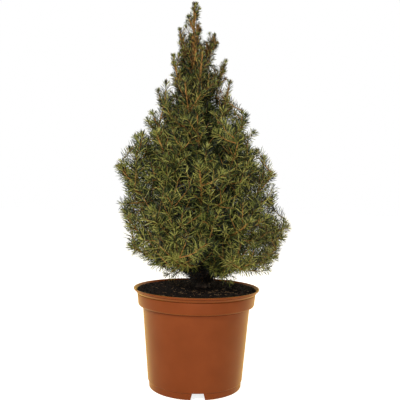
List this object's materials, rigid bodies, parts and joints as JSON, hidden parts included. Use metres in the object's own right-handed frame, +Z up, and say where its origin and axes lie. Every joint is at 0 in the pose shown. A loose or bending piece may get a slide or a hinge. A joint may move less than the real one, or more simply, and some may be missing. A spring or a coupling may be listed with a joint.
{
  "type": "potted dwarf alberta spruce",
  "caption": "Small cone-shaped spruce with dense upright needle shoots, growing in a round tapered plastic nursery pot with a rolled rim band and drainage channels.",
  "frame": {"origin": "centre of the pot's flat underside, on the ground it stands on", "axes": "+Z up along the pot's axis; -Y is the front, which the picture shows; +X is to the right seen from the front"},
  "size_m": [0.2707, 0.2599, 0.5858],
  "materials": {
    "pot": "satin moulded terracotta-coloured plastic",
    "compost": "loose dark peat with bits of bark",
    "bark": "rough scaly bark",
    "twig_bark": "orange-brown grooved twig bark",
    "needles": "satin evergreen needles"
  },
  "bodies": {
    "root": {"pot": "pot", "compost": "compost", "trunk": "bark", "bough_broad_1": "twig_bark", "bough_broad_2": "twig_bark", "bough_broad_3": "twig_bark", "bough_broad_4": "twig_bark", "bough_broad_5": "twig_bark", "bough_low_1": "twig_bark", "bough_low_2": "twig_bark", "bough_low_3": "twig_bark", "bough_low_4": "twig_bark", "bough_low_5": "twig_bark", "bough_low_6": "twig_bark", "bough_waist_1": "twig_bark", "bough_waist_2": "twig_bark", "bough_waist_3": "twig_bark", "bough_waist_4": "twig_bark", "bough_waist_5": "twig_bark", "foliage_broad_1": "needles", "foliage_broad_2": "needles", "foliage_broad_3": "needles", "foliage_broad_4": "needles", "foliage_broad_5": "needles", "foliage_crest_1": "needles", "foliage_crest_2": "needles", "foliage_crest_3": "needles", "foliage_crest_4": "needles", "foliage_leader": "needles", "foliage_low_1": "needles", "foliage_low_2": "needles", "foliage_low_3": "needles", "foliage_low_4": "needles", "foliage_low_5": "needles", "foliage_low_6": "needles", "foliage_middle_1": "needles", "foliage_middle_2": "needles", "foliage_middle_3": "needles", "foliage_middle_4": "needles", "foliage_middle_5": "needles", "foliage_shoulder_1": "needles", "foliage_shoulder_2": "needles", "foliage_shoulder_3": "needles", "foliage_shoulder_4": "needles", "foliage_skirt_1": "needles", "foliage_skirt_2": "needles", "foliage_skirt_3": "needles", "foliage_skirt_4": "needles", "foliage_skirt_5": "needles", "foliage_skirt_6": "needles", "foliage_upper_1": "needles", "foliage_upper_2": "needles", "foliage_upper_3": "needles", "foliage_upper_4": "needles", "foliage_waist_1": "needles", "foliage_waist_2": "needles", "foliage_waist_3": "needles", "foliage_waist_4": "needles", "foliage_waist_5": "needles"}
  },
  "joints": []
}
